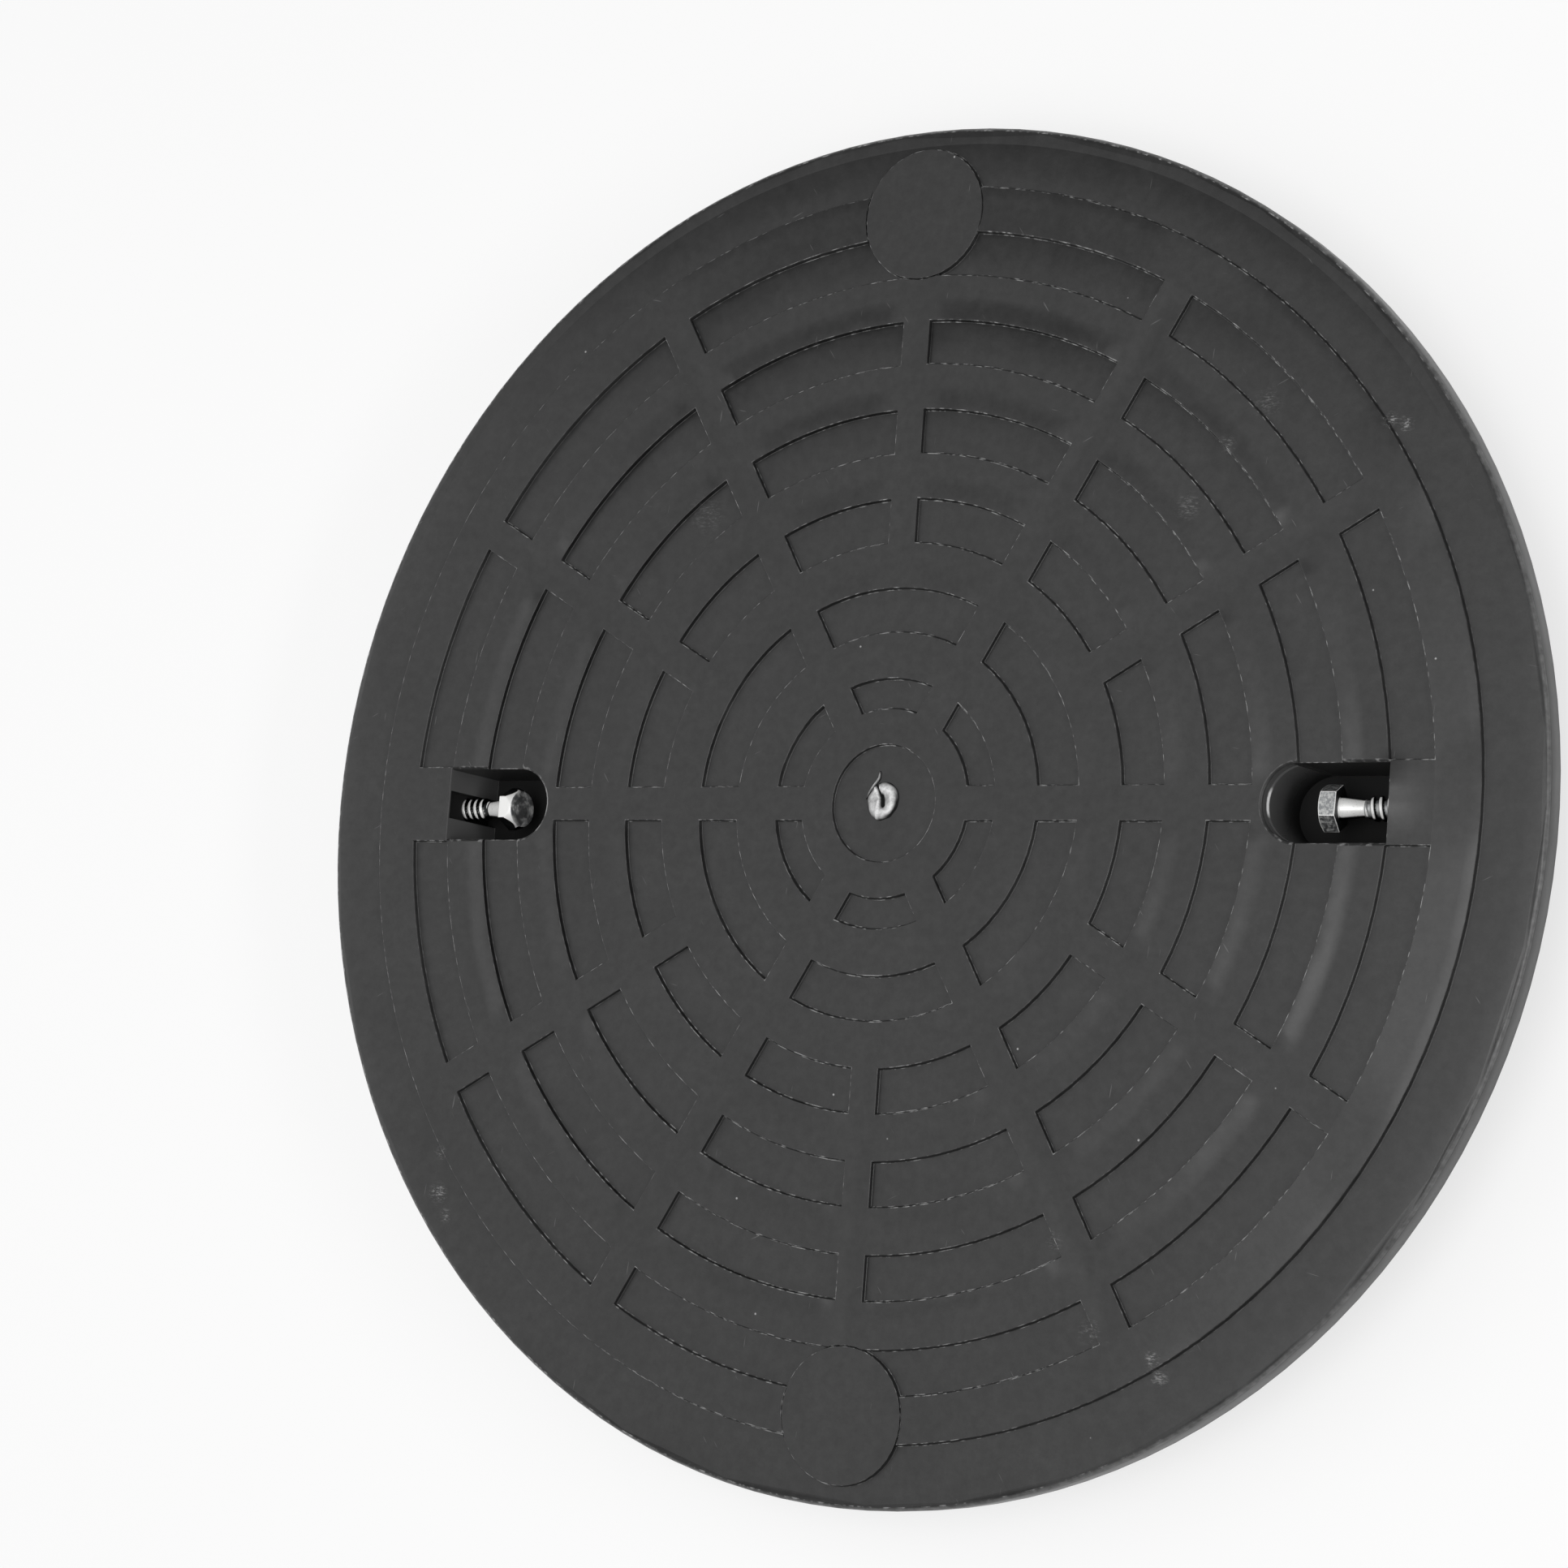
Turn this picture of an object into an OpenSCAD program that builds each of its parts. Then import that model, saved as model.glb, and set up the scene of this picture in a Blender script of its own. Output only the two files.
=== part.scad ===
// Round plastic manhole cover with a grid of recessed cells on its face.
// Two deep pockets hold the lock screws, which point outward through the spigot.
// Millimetres. +Z is up, the spigot's lower edge is at z = 0, and the pockets lie on the X axis.

/* [Cover] */
// Outer diameter of the flange
cover_d = 450; // [300:1:700]
// Height from the spigot's lower edge to the raised grid
cover_h = 40; // [32:0.5:60]
// Thickness of the top plate below the raised grid
plate_t = 5.5; // [4:0.1:10]
// Width of the low outer band round the raised crown
band_w = 20.5; // [10:0.5:40]
// Step down from the crown to the outer band
crown_step = 1.5; // [0.5:0.1:3]

/* [Flange] */
// Height of the flange's outer side
flange_h = 9; // [6:0.5:20]
// Thickness of the flange between the spigot and the rim
flange_t = 4.5; // [3:0.1:10]
// Wall of the rim that turns down at the flange's edge
rim_t = 4; // [2.5:0.1:8]
// Rounding radius of the flange's upper edge
edge_r = 1.8; // [0.5:0.1:4]

/* [Spigot] */
// Distance from the pockets' outer wall to the spigot's outer face
spigot_gap = 14.5; // [12:0.5:30]
// Wall of the spigot
spigot_t = 4; // [2.5:0.1:8]
// Lead-in chamfer at the spigot's lower edge
spigot_lead = 1.5; // [0:0.1:3]

/* [Grid of cells] */
// Depth of the recessed cells
cell_depth = 1.5; // [0.5:0.1:3]
// Draft of the cells' curved walls over their depth
cell_draft = 0.25; // [0:0.05:0.6]
// Width of the plain raised ring outside the outermost cells
outer_ring_w = 14.9; // [8:0.1:30]
// Distance from one ring of cells to the next
ring_pitch = 29.7; // [20:0.1:40]
// Radial width of the cells
ring_w = 14.6; // [8:0.1:20]
// Inner radius of the small ring round the hub
first_r = 31; // [24:0.5:40]
// Radial width of the cells in the small ring
first_w = 10; // [6:0.5:14]
// Width of the raised bars between neighbouring cells
bar_w = 11.4; // [6:0.1:20]
// Width of the raised bars that point at the round pads
pad_bar_w = 10; // [6:0.1:20]

/* [Hub] */
// Diameter of the sunk disc at the centre
hub_d = 38.4; // [24:0.1:50]
// Depth of the sunk disc
hub_depth = 1.2; // [0.4:0.1:2]
// Diameter of the gate stub left by moulding
gate_d = 12.7; // [6:0.1:16]
// Height of the gate stub above the sunk disc
gate_h = 1.5; // [0.5:0.1:3]

/* [Round pads] */
// Diameter of each round pad
pad_d = 44; // [30:0.5:60]
// Distance of each pad's centre from the cover's edge
pad_inset = 29; // [24:0.5:60]
// Rise of the pads above the raised grid
pad_rise = 0.2; // [0:0.05:1]

/* [Screw pockets] */
// Width of each pocket's mouth, and of the plain patch beyond it
pocket_w = 26; // [20:0.5:40]
// Length of each pocket's mouth along the radius
pocket_l = 42; // [34:0.5:60]
// Bevel round the mouth's sides and inner end
mouth_bevel = 0.8; // [0.2:0.1:2]
// Depth of each pocket below the raised grid
pocket_depth = 28; // [18:0.5:45]
// Wall and floor thickness of the pocket's shell
pocket_t = 3; // [2:0.1:6]
// Width of the upright slot in the pocket's outer wall
slot_w = 9.4; // [9:0.1:14]
// Depth of the slot into the outer wall
slot_t = 3; // [1:0.1:6]
// Skin of the top plate left over the slot
slot_skin = 1; // [0.6:0.1:3]

/* [Lock screws] */
// Nominal diameter of the screws
screw_d = 8; // [6:1:10]
// Length of a screw below its head
screw_l = 30; // [25:1:60]
// Width of the hexagon head across its flats
head_af = 13; // [10:0.5:17]
// Height of the head
head_h = 5.5; // [4:0.1:8]
// Length of the screw's pointed end
tip_l = 5; // [3:0.5:8]
// Slope of the screws, with the head end higher
screw_slope = 5; // [0:0.5:12]
// Depth of the screws' axis at the pocket's outer wall
screw_depth = 15.5; // [10:0.5:20]
// Distance of the right head's seat from the outer wall
right_out = 20.8; // [6:0.1:24]
// Distance of the left head's seat from the outer wall
left_out = 16.3; // [6:0.1:24]
// Turn of the right screw's head about its axis
right_turn = 24; // [0:1:59]
// Turn of the left screw's head about its axis
left_turn = 30; // [0:1:59]
// Radial clearance of a screw in its hole
screw_gap = 0.05; // [0.01:0.01:0.1]

/* [Underside ribs] */
// Number of radial ribs and of bars on the face
rib_n = 12; // [6:1:18]
// Thickness of the radial ribs
rib_t = 3; // [2:0.1:5]
// Gap from the ribs' lower edge to the floor
rib_lift = 3; // [0:0.5:10]
// Thickness of the ring ribs
ring_rib_t = 2.5; // [2:0.1:5]
// Height of the ring ribs below the plate
ring_rib_h = 15; // [5:0.5:25]
// Outer diameter of the hub tube
hub_tube_d = 34; // [20:1:60]
// Wall of the hub tube
hub_tube_t = 3; // [2:0.1:6]
// Reach of the hub tube below the radial ribs
hub_tube_drop = 1; // [0.5:0.1:3]

/* [Hidden] */
$fn = 96;
cover_r = cover_d / 2;
crown_r = cover_r - band_w;
ring_r = crown_r - outer_ring_w - ring_w;
pocket_out = ring_r;
spigot_r = pocket_out + spigot_gap;
pad_r = cover_r - pad_inset;
band_z = cover_h - crown_step;
rim_z = band_z - flange_h;
seat_z = band_z - flange_t;
plate_z = cover_h - plate_t;
cell_z = cover_h - cell_depth;
pocket_z = cover_h - pocket_depth;
pocket_in = pocket_out - pocket_l;
pocket_half = pocket_w / 2 - mouth_bevel;
round_x = pocket_in + pocket_w / 2;
axis_z = cover_h - screw_depth;
screw_r = screw_d / 2;
head_r = head_af / 2 / cos(30);
bore_r = screw_r + screw_gap;
boss_r = screw_r + 4;
slot_back = pocket_out + slot_t;
mid_bar = (ring_pitch - ring_w) / 2;
rings = floor((ring_r - first_r - first_w - mid_bar) / ring_pitch) + 1;
eps = 0.01;

// Places children on a screw's axis, at a distance from the centre, with +Z outward
module on_screw_axis(r) {
  translate([pocket_out, 0, axis_z])
    rotate([0, 90 + screw_slope, 0])
      translate([0, 0, (r - pocket_out) / cos(screw_slope)])
        children();
}

// Half section of the plate, the flange and the spigot
module shell_profile() {
  polygon(concat(
    [[0, cover_h], [crown_r, cover_h], [crown_r + cell_draft, band_z]],
    [for (a = [90:-15:0]) [cover_r - edge_r + edge_r * cos(a), band_z - edge_r + edge_r * sin(a)]],
    [
      [cover_r, rim_z],
      [cover_r - rim_t, rim_z],
      [cover_r - rim_t, seat_z],
      [spigot_r, seat_z],
      [spigot_r, spigot_lead],
      [spigot_r - spigot_lead, 0],
      [spigot_r - spigot_t, 0],
      [spigot_r - spigot_t, plate_z],
      [0, plate_z]
    ]
  ));
}

// Ring band with sloped walls, as tall as a cell is deep
module ring_band(r, w) {
  rotate_extrude()
    polygon([
      [r + cell_draft, cell_z],
      [r + w - cell_draft, cell_z],
      [r + w, cover_h],
      [r + w, cover_h + 1],
      [r, cover_h + 1],
      [r, cover_h]
    ]);
}

// One radial bar from the centre outward, at an angle
module bar(a, w, length) {
  rotate([0, 0, a])
    translate([0, -w / 2, cell_z - 1])
      cube([length, w, cell_depth + 3]);
}

// Width of the raised bar at an angle, wider beside the pockets in the outermost ring
function bar_width(a, outermost) =
  a % 180 == 90 ? pad_bar_w :
  outermost && a % 180 == 0 ? pocket_w : bar_w;

// Ring of cells: the band less its radial bars
module cell_ring(r, w, n, outermost) {
  difference() {
    ring_band(r, w);
    for (i = [0:n - 1])
      bar(i * 360 / n, bar_width(i * 360 / n, outermost), r + w + 2);
  }
}

// All the cells to be sunk into the face
module cells() {
  cell_ring(first_r, first_w, rib_n / 2, false);
  for (k = [0:rings - 1])
    cell_ring(ring_r - k * ring_pitch, ring_w, k == rings - 1 ? rib_n / 2 : rib_n, k == 0);
}

// Outline of a pocket below its bevel, grown by a wall
module pocket_outline(wall) {
  translate([round_x, 0])
    circle(r = pocket_half + wall);
  translate([round_x, -pocket_half - wall])
    square([pocket_out - round_x, 2 * (pocket_half + wall)]);
}

// Bevelled space at a pocket's mouth, along its sides and round its inner end
module pocket_mouth() {
  translate([round_x, 0, cover_h - mouth_bevel])
    cylinder(r1 = pocket_half, r2 = pocket_w / 2 + 1, h = mouth_bevel + 1);
  translate([round_x, 0, cover_h])
    rotate([90, 0, 90])
      linear_extrude(height = pocket_out - round_x)
        polygon([
          [-pocket_half, -mouth_bevel],
          [pocket_half, -mouth_bevel],
          [pocket_w / 2 + 1, 1],
          [-pocket_w / 2 - 1, 1]
        ]);
}

// Walls and floor round one pocket, with the screw's boss
module pocket_shell() {
  translate([0, 0, pocket_z - pocket_t])
    linear_extrude(height = plate_z - pocket_z + pocket_t + 1)
      pocket_outline(pocket_t);
  translate([pocket_out - 1, -pocket_half - pocket_t, pocket_z - pocket_t])
    cube([slot_t + pocket_t + 1, 2 * (pocket_half + pocket_t), plate_z - pocket_z + pocket_t + 1]);
  on_screw_axis(slot_back + 1)
    cylinder(r = boss_r, h = spigot_r - slot_back - 3);
}

// Space inside one pocket, with the upright slot and the screw's hole
module pocket_space() {
  translate([0, 0, pocket_z])
    linear_extrude(height = pocket_depth + 1)
      pocket_outline(0);
  pocket_mouth();
  translate([pocket_out - 1, -slot_w / 2, pocket_z])
    cube([slot_t + 1, slot_w, pocket_depth - slot_skin]);
  on_screw_axis(slot_back - 1)
    cylinder(r = bore_r, h = spigot_r - slot_back + 4);
}

// Round pad on the crown and the outer band
module pad() {
  translate([0, pad_r, plate_z + 0.5])
    cylinder(d = pad_d, h = plate_t - 0.5 + pad_rise);
}

// Radial ribs, ring ribs and hub tube under the plate
module underside() {
  for (i = [0:rib_n - 1])
    rotate([0, 0, i * 360 / rib_n])
      translate([hub_tube_d / 2 - 1, -rib_t / 2, rib_lift])
        cube([spigot_r - spigot_t / 2 - hub_tube_d / 2 + 1, rib_t, plate_z - rib_lift + 1]);
  for (k = [0:rings - 1])
    ring_rib(ring_r - mid_bar - k * ring_pitch);
  translate([0, 0, rib_lift - hub_tube_drop])
    difference() {
      cylinder(d = hub_tube_d, h = plate_z - rib_lift + hub_tube_drop + 1);
      translate([0, 0, -1])
        cylinder(d = hub_tube_d - 2 * hub_tube_t, h = plate_z - rib_lift + hub_tube_drop + 1);
    }
}

// One ring rib under a raised ring of the face
module ring_rib(r) {
  translate([0, 0, plate_z - ring_rib_h])
    difference() {
      cylinder(r = r + ring_rib_t / 2, h = ring_rib_h + 1);
      translate([0, 0, -1])
        cylinder(r = r - ring_rib_t / 2, h = ring_rib_h + 3);
    }
}

// The whole moulding, in one piece
module cover() {
  color([0.07, 0.07, 0.07]) {
    difference() {
      union() {
        difference() {
          rotate_extrude()
            shell_profile();
          cells();
          translate([0, 0, cover_h - hub_depth])
            cylinder(d = hub_d, h = hub_depth + 1);
        }
        underside();
        for (s = [0, 180])
          rotate([0, 0, s]) {
            pad();
            pocket_shell();
          }
        translate([0, 0, cover_h - hub_depth - 1])
          cylinder(d1 = gate_d + 0.6, d2 = gate_d - 0.6, h = gate_h + 1);
      }
      for (s = [0, 180])
        rotate([0, 0, s])
          pocket_space();
    }
  }
}

// Hexagon head screw on its axis, with the head's seat at z = 0 and the shank along +Z
module lag_screw(turn) {
  translate([0, 0, -head_h])
    rotate([0, 0, turn])
      intersection() {
        cylinder(r = head_r, h = head_h, $fn = 6);
        union() {
          cylinder(r1 = head_af / 2 * 0.95, r2 = head_r + eps, h = (head_r - head_af / 2 * 0.95) / 2);
          translate([0, 0, (head_r - head_af / 2 * 0.95) / 2])
            cylinder(r = head_r + eps, h = head_h);
        }
      }
  translate([0, 0, -1])
    cylinder(r = screw_r, h = screw_l - tip_l + 1);
  translate([0, 0, screw_l - tip_l])
    cylinder(r1 = screw_r, r2 = 0.6, h = tip_l);
}

// Right lock screw, partly backed out of its hole
module screw_right() {
  color([0.75, 0.76, 0.78])
    on_screw_axis(pocket_out - right_out)
      lag_screw(right_turn);
}

// Left lock screw, partly backed out of its hole
module screw_left() {
  color([0.75, 0.76, 0.78])
    rotate([0, 0, 180])
      on_screw_axis(pocket_out - left_out)
        lag_screw(left_turn);
}

cover();
screw_right();
screw_left();
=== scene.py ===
"""Dresses the round plastic manhole cover and its two lock screws.

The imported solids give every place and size. The moulding is a merged copy of
its solid with its edges eased, and the gate stub and the screws are modelled
here in full. One Blender unit is a metre, and pieces are shaped in
millimetres and scaled once they are done.
"""

import logging
import math
from dataclasses import dataclass
from enum import Enum
from typing import Any, Callable

import bpy
from bpy.types import Material, Node, NodeSocket, NodeTree, Object
from mathutils import Matrix, Vector, noise

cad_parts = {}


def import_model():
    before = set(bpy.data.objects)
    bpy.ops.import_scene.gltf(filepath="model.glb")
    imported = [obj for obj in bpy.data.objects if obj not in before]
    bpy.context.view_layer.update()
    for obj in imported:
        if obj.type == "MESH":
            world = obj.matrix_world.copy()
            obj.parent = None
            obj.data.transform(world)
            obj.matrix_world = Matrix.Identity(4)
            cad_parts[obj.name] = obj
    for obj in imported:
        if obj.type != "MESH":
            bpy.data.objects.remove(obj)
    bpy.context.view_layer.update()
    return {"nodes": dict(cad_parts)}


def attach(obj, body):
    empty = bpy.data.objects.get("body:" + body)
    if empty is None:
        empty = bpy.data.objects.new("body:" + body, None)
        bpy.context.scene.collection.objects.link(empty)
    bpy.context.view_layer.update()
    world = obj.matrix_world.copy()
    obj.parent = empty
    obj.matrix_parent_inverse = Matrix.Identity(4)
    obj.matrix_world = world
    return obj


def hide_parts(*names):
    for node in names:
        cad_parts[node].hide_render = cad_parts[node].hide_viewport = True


LOG = logging.getLogger("manhole_cover")
MM = 0.001
COVER_TOP = 40.0
HUB_FLOOR = 38.8
PLASTIC_IOR = 1.51
SMOOTH = {"interpolation_type": "SMOOTHSTEP"}
# A short line on a ball of radius 1: start x and y, end x and y, and width.
Stroke = tuple[float, float, float, float, float]


class Side(Enum):
    """The pocket a lock screw sits in, by its direction from the centre."""

    RIGHT = 1
    LEFT = -1


class Zone(Enum):
    """The zones of the moulding, by the slot of their finish."""

    FACE = 0
    POCKET_WALL = 1
    POCKET_DEPTH = 2
    OUTER_WALL = 3
    INNER_END = 4


class Plating(Enum):
    """The finishes of a screw, by their slot: its plating, and copies of it with painted highlight, painted
    shade and a painted glint on the head.
    """

    MOTTLED = 0
    RUBBED = 1
    GRIMED = 2
    HEAD_GLINT = 3


def clamp(value: float) -> float:
    """Keep a value between 0 and 1."""
    return min(1.0, max(0.0, value))


def linear(code: str) -> tuple[float, float, float, float]:
    """Turn an sRGB hex colour into linear light.

    Args:
        code: The colour, such as "#3c3c3c".

    Returns:
        Red, green, blue and alpha for a shader socket.
    """
    parts = [int(code[i : i + 2], 16) / 255 for i in (1, 3, 5)]
    bent = [p / 12.92 if p <= 0.04045 else ((p + 0.055) / 1.055) ** 2.4 for p in parts]
    return (bent[0], bent[1], bent[2], 1.0)


def add(
    tree: NodeTree, kind: str, inputs: dict[int | str, Any] | None = None, **settings: Any
) -> Node:
    """Add a node, give it its settings, and fill or link its inputs.

    Args:
        tree: The node tree that takes the node.
        kind: The node's type after "ShaderNode", such as "Math".
        inputs: For each input, a constant, an output, or a node whose first
            output is meant.
        settings: The node's own properties, by name.

    Returns:
        The new node.
    """
    node = tree.nodes.new("ShaderNode" + kind)
    for name, value in settings.items():
        setattr(node, name, value)
    for key, value in (inputs or {}).items():
        source = value.outputs[0] if isinstance(value, Node) else value
        if isinstance(source, NodeSocket):
            tree.links.new(source, node.inputs[key])
        else:
            node.inputs[key].default_value = source
    return node


def start_material(name: str) -> tuple[Material, NodeTree]:
    """Make an empty node material.

    Args:
        name: The material's name.

    Returns:
        The material and its node tree.
    """
    material = bpy.data.materials.new(name)
    material.use_nodes = True
    material.node_tree.nodes.clear()
    return material, material.node_tree


def activate(obj: Object) -> None:
    """Make one object the only selected and active one.

    Args:
        obj: The object that the next operators work on.
    """
    if bpy.context.object and bpy.context.object.mode != "OBJECT":
        bpy.ops.object.mode_set(mode="OBJECT")
    bpy.ops.object.select_all(action="DESELECT")
    obj.select_set(True)
    bpy.context.view_layer.objects.active = obj


def pick_faces(obj: Object, wanted: Callable[[Vector, Vector], bool]) -> None:
    """Select an object's faces by their centre and normal, and nothing else.

    Args:
        obj: The active mesh object, in object mode.
        wanted: Says for a face's centre and normal whether it is selected.
    """
    mesh = obj.data
    for part in (mesh.vertices, mesh.edges, mesh.polygons):
        part.foreach_set("select", [False] * len(part))
    picks = [bool(wanted(face.center, face.normal)) for face in mesh.polygons]
    mesh.polygons.foreach_set("select", picks)


def apply_modifier(obj: Object, kind: str, **settings: Any) -> None:
    """Add a modifier to an object and apply it.

    Args:
        obj: The mesh object.
        kind: The modifier's type.
        settings: The modifier's properties.
    """
    activate(obj)
    modifier = obj.modifiers.new(kind.title(), kind)
    for name, value in settings.items():
        setattr(modifier, name, value)
    bpy.ops.object.modifier_apply(modifier=modifier.name)


def report(piece: Object) -> None:
    """Log a finished piece by its name and size in faces."""
    LOG.info("%s: %d faces", piece.name, len(piece.data.polygons))


@dataclass(frozen=True)
class MouldedPolyethylene:
    """Black polyethylene straight from a matt steel mould.

    It gives the eye a soft charcoal face with a matt sheen, shallow sink marks over the ribs, a fine grain,
    pale scuffs from handling, and pale edges that are painted highlight.
    """

    name: str = "polyethylene_black_moulded_matt"
    colour: str = "#262626"
    # The pale colour of the scuffs and of the painted highlights.
    wear_and_highlight_colour: str = "#a0a0a0"
    roughness: float = 0.4
    rib_count: int = 12
    crown_r_mm: float = 204.5
    rim_r_mm: float = 225.0
    ring_pitch_mm: float = 29.7
    wall_r_mm: float = 159.9
    grid_w_mm: float = 15.1
    lip_w_mm: float = 8.0
    lip_mm: float = 1.12
    lip_end_r_mm: float = 188.0
    bar_half_mm: float = 4.5
    bar_sink_mm: float = 0.45
    cell_depth_mm: float = 1.4
    dish_mm: float = 1.6
    swell_mm: float = 2.3
    swell_from_mm: float = 174.5
    swell_run_mm: float = 17.0
    swell_y_mm: float = 2.5
    warp_side_deg: float = 28.0
    # Each roll-off: start and end radius, fall, bend, and whether the warped side alone has it.
    roll_offs: tuple[tuple[float, float, float, float, bool], ...] = (
        (189.6, crown_r_mm, 0.11, 0.0, True),
        (200.5, crown_r_mm, 0.0, 0.02, True),
        (205.0, rim_r_mm, 0.0, 0.0006, False),
        (217.0, rim_r_mm, 0.0, 0.006, False),
    )
    # The mould's grain is about 0.2 mm, too fine to show, so it is drawn as coarse as it has to be.
    grain_mm: float = 0.9
    grain_rise_mm: float = 0.012
    wave_mm: float = 1000 / 22
    wave_rise_mm: float = 0.15
    patch_mm: float = 25.0
    cloud_mm: float = 1000 / 35
    fleck_mm: float = 3.6
    grit_mm: float = 1000 / 90
    # How pale the painted highlight on the face's edges gets.
    lip_glint: float = 0.8
    edge_break_mm: float = 1000 / 420
    rim_wear: float = 0.34
    # Edges that face away from this direction carry the painted highlight.
    glint_away_side: tuple[float, float, float] = (0.95, -0.3, 0.0)
    # Each lot of scratches: direction in degrees, how many fit in a metre, and how rare they are.
    scratches: tuple[tuple[float, float, float], ...] = (
        (25.0, 60.0, 0.8),
        (-55.0, 80.0, 0.79),
        (84.0, 70.0, 0.79),
        (-12.0, 90.0, 0.81),
    )
    scratch_stretch: float = 14.0
    scrape_mm: float = 1000 / 1100
    # Each of the scuffs: x, y and reach in millimetres, and strength. A painted highlight on the pocket's
    # rim has no strength.
    scuffs: tuple[tuple[float, float, float, float], ...] = (
        (168.9, 117.7, 3.4, 1.6),
        (173.7, 116.0, 3.8, 1.6),
        (-167.0, -120.6, 4.0, 0.7),
        (-166.9, -134.4, 5.0, 1.5),
        (-163.1, -141.7, 3.6, 1.2),
        (110.0, -175.6, 4.4, 1.1),
        (108.0, -170.2, 3.6, 0.9),
        (85.7, -163.7, 5.5, 0.45),
        (71.7, -136.9, 4.5, 0.4),
        (-77.4, 98.6, 9.0, 0.3),
        (127.5, 125.5, 6.5, 0.4),
        (115.1, 112.3, 4.0, 0.5),
        (102.9, 93.3, 6.0, 0.4),
    )
    # Painted highlights on the left pocket's inner rim: x, y and reach in millimetres.
    pocket_glints: tuple[tuple[float, float, float], ...] = ((-133.9, 3.0, 3.6), (-133.7, -1.0, 3.6))

    def radius(self, tree: NodeTree, place: NodeSocket) -> NodeSocket:
        """Add the nodes for a point's distance from the cover's axis.

        Args:
            tree: The material's node tree.
            place: The point on the object, in metres.

        Returns:
            The distance in millimetres.
        """
        flat = add(tree, "VectorMath", {0: place, 1: (1 / MM, 1 / MM, 0)}, operation="MULTIPLY")
        return add(tree, "VectorMath", {0: flat}, operation="LENGTH").outputs[1]

    def relief(self, tree: NodeTree, place: NodeSocket) -> Node:
        """Shallow shape that cooling left on the face.

        The face stands a little proud along the outer wall of each ring of
        cells and falls away from it, and sinks slightly over the radial ribs.
        The floors of the cells at the back are dished, the face swells beyond
        the right pocket, and it rolls off towards the crown's and the cover's
        edge. The round pads stay flat.

        Args:
            tree: The material's node tree.
            place: The point on the object, in metres.

        Returns:
            A node for the height in millimetres.
        """
        radius = self.radius(tree, place)
        split = add(tree, "SeparateXYZ", {0: place})
        angle = add(tree, "Math", {0: split.outputs[1], 1: split.outputs[0]}, operation="ARCTAN2")
        turn = math.pi / self.rib_count
        off_angle = add(tree, "Math", {0: angle, 1: turn, 2: -turn}, operation="WRAP")
        off_bar = add(tree, "Math", {0: off_angle, 1: radius}, operation="MULTIPLY")
        aside = add(tree, "Math", {0: off_bar}, operation="ABSOLUTE")
        from_wall = add(tree, "Math", {0: radius, 1: self.wall_r_mm}, operation="SUBTRACT")
        ring = {0: from_wall, 1: self.grid_w_mm, 2: self.grid_w_mm - self.ring_pitch_mm}
        past_wall = add(tree, "Math", ring, operation="WRAP")

        # The lips: full at a ring's outer wall, gone at the bars, faint at the hub, and patchy.
        patchy = add(tree, "TexNoise", {"Vector": place, "Scale": 1000 / self.patch_mm, "Detail": 2.0})
        total = self.lip_mm
        for part in (
            add(tree, "MapRange", {0: past_wall, 1: -1.5, 2: self.lip_w_mm, 3: 1.0, 4: 0.0}, **SMOOTH),
            add(tree, "MapRange", {0: past_wall, 1: -0.25, 2: 0.0}),
            add(tree, "MapRange", {0: aside, 1: 5.0, 2: 13.0}, **SMOOTH),
            add(tree, "MapRange", {0: radius, 1: 41.0, 2: 163.0, 3: 0.3, 4: 1.0}),
            add(tree, "MapRange", {0: radius, 1: self.lip_end_r_mm + 0.5, 2: self.lip_end_r_mm}),
            add(tree, "MapRange", {0: patchy, 1: 0.3, 2: 0.7, 3: 0.75, 4: 1.25}),
        ):
            total = add(tree, "Math", {0: total, 1: part}, operation="MULTIPLY")

        # The sink over the ribs: a bell across each bar, but none on the two that lead to the pockets.
        ratio = add(tree, "Math", {0: off_bar, 1: self.bar_half_mm}, operation="DIVIDE")
        square = add(tree, "Math", {0: ratio, 1: ratio}, operation="MULTIPLY")
        minus = add(tree, "Math", {0: square, 1: -1.0}, operation="MULTIPLY")
        bell = add(tree, "Math", {0: minus}, operation="EXPONENT")
        sine = add(tree, "Math", {0: angle}, operation="SINE")
        slanted = add(tree, "Math", {0: sine}, operation="ABSOLUTE")
        from_hub = add(tree, "MapRange", {0: radius, 1: 60.0, 2: 150.0, 3: 0.2, 4: 1.0})
        in_grid = add(tree, "MapRange", {0: radius, 1: 192.0, 2: 182.0}, **SMOOTH)
        for part in (slanted, from_hub, in_grid):
            bell = add(tree, "Math", {0: bell, 1: part}, operation="MULTIPLY")
        total = add(tree, "Math", {0: bell, 1: -self.bar_sink_mm, 2: total}, operation="MULTIPLY_ADD")

        # The dished floors: down towards the outer wall, and only on the cells at the back.
        floor_z = (COVER_TOP - self.cell_depth_mm) * MM
        dish = add(tree, "MapRange", {0: past_wall, 1: -14.6, 2: 0.0})
        on_floor = add(tree, "MapRange", {0: split.outputs[2], 1: floor_z + 0.1 * MM, 2: floor_z})
        backward = add(tree, "MapRange", {0: sine, 1: 0.3, 2: 0.9, 3: 0.0, 4: -self.dish_mm})
        outward = add(tree, "MapRange", {0: radius, 1: 100.0, 2: 160.0})
        for part in (dish, on_floor, backward, outward):
            dish = add(tree, "Math", {0: dish, 1: part}, operation="MULTIPLY")
        total = add(tree, "Math", {0: dish, 1: total}, operation="ADD")

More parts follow.
